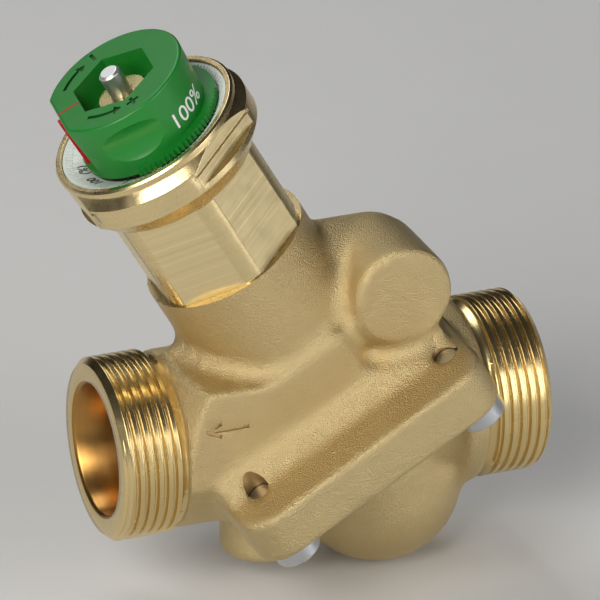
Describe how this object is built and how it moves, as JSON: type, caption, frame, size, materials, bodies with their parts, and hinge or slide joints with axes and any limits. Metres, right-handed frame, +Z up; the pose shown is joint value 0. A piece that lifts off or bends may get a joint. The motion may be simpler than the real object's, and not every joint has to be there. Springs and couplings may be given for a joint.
{
  "type": "pressure independent control valve",
  "caption": "Brass control valve with two threaded ports, a leaning neck with a setting knob, a blind side boss and a diaphragm regulator under a bolted flange.",
  "frame": {"origin": "centre of the outlet port's end face", "axes": "+X along the pipe from the outlet port to the inlet port, +Z up, the regulating axis leans 30 degrees from +Z towards the outlet, in the plane of X and Z"},
  "size_m": [0.0697, 0.045, 0.0855],
  "materials": {
    "cast_brass": "sand cast, blasted",
    "turned_brass": "turned, satin",
    "dial_white": "satin",
    "knob_green": "satin gloss",
    "pointer_red": "satin",
    "steel": "bright",
    "screw_zinc": "bright zinc",
    "seal_rubber": "matt"
  },
  "bodies": {
    "valve": {"valve_body": "cast_brass", "inlet_housing": "cast_brass", "bonnet": "turned_brass", "cover_screw_1": "screw_zinc", "cover_screw_2": "screw_zinc", "cover_screw_3": "screw_zinc", "cover_screw_4": "screw_zinc", "dial_ring": "dial_white", "retaining_ring": "steel", "bonnet_seal": "seal_rubber", "seat_ring": "turned_brass", "diaphragm": "seal_rubber", "regulator_guide": "turned_brass", "guide_seal": "seal_rubber", "regulator_seat": "seal_rubber", "regulator_spring": "steel"},
    "setting": {"setting_sleeve": "turned_brass", "sleeve_seal": "seal_rubber", "gland_nut": "turned_brass", "stem_seal": "seal_rubber", "return_spring": "steel"},
    "knob": {"setting_knob": "knob_green", "knob_pointer": "pointer_red"},
    "spindle": {"stem": "steel", "stem_clip": "steel", "control_cone": "turned_brass", "cone_seal": "seal_rubber"},
    "regulator": {"regulator_cone": "turned_brass", "diaphragm_plate": "steel", "diaphragm_nut": "turned_brass"}
  },
  "joints": [
    {"name": "setting_turn", "type": "hinge", "parent": "valve", "child": "setting", "pos_m": [0.036, 0, 0], "axis": [-0.5, 0, 0.866], "range_deg": [-270, 0]},
    {"name": "knob_lift", "type": "slide", "parent": "setting", "child": "knob", "axis": [-0.5, 0, 0.866], "range_m": [0, 0.002]},
    {"name": "stem_push", "type": "slide", "parent": "valve", "child": "spindle", "axis": [0.5, 0, -0.866], "range_m": [0, 0.00225], "stiffness_N_per_m": 8000, "springref_m": -0.0025, "deforming": ["return_spring"]},
    {"name": "regulator_travel", "type": "slide", "parent": "valve", "child": "regulator", "axis": [0.5, 0, -0.866], "range_m": [0, 0.0018], "stiffness_N_per_m": 5000, "springref_m": -0.002, "deforming": ["regulator_spring", "diaphragm"]}
  ]
}
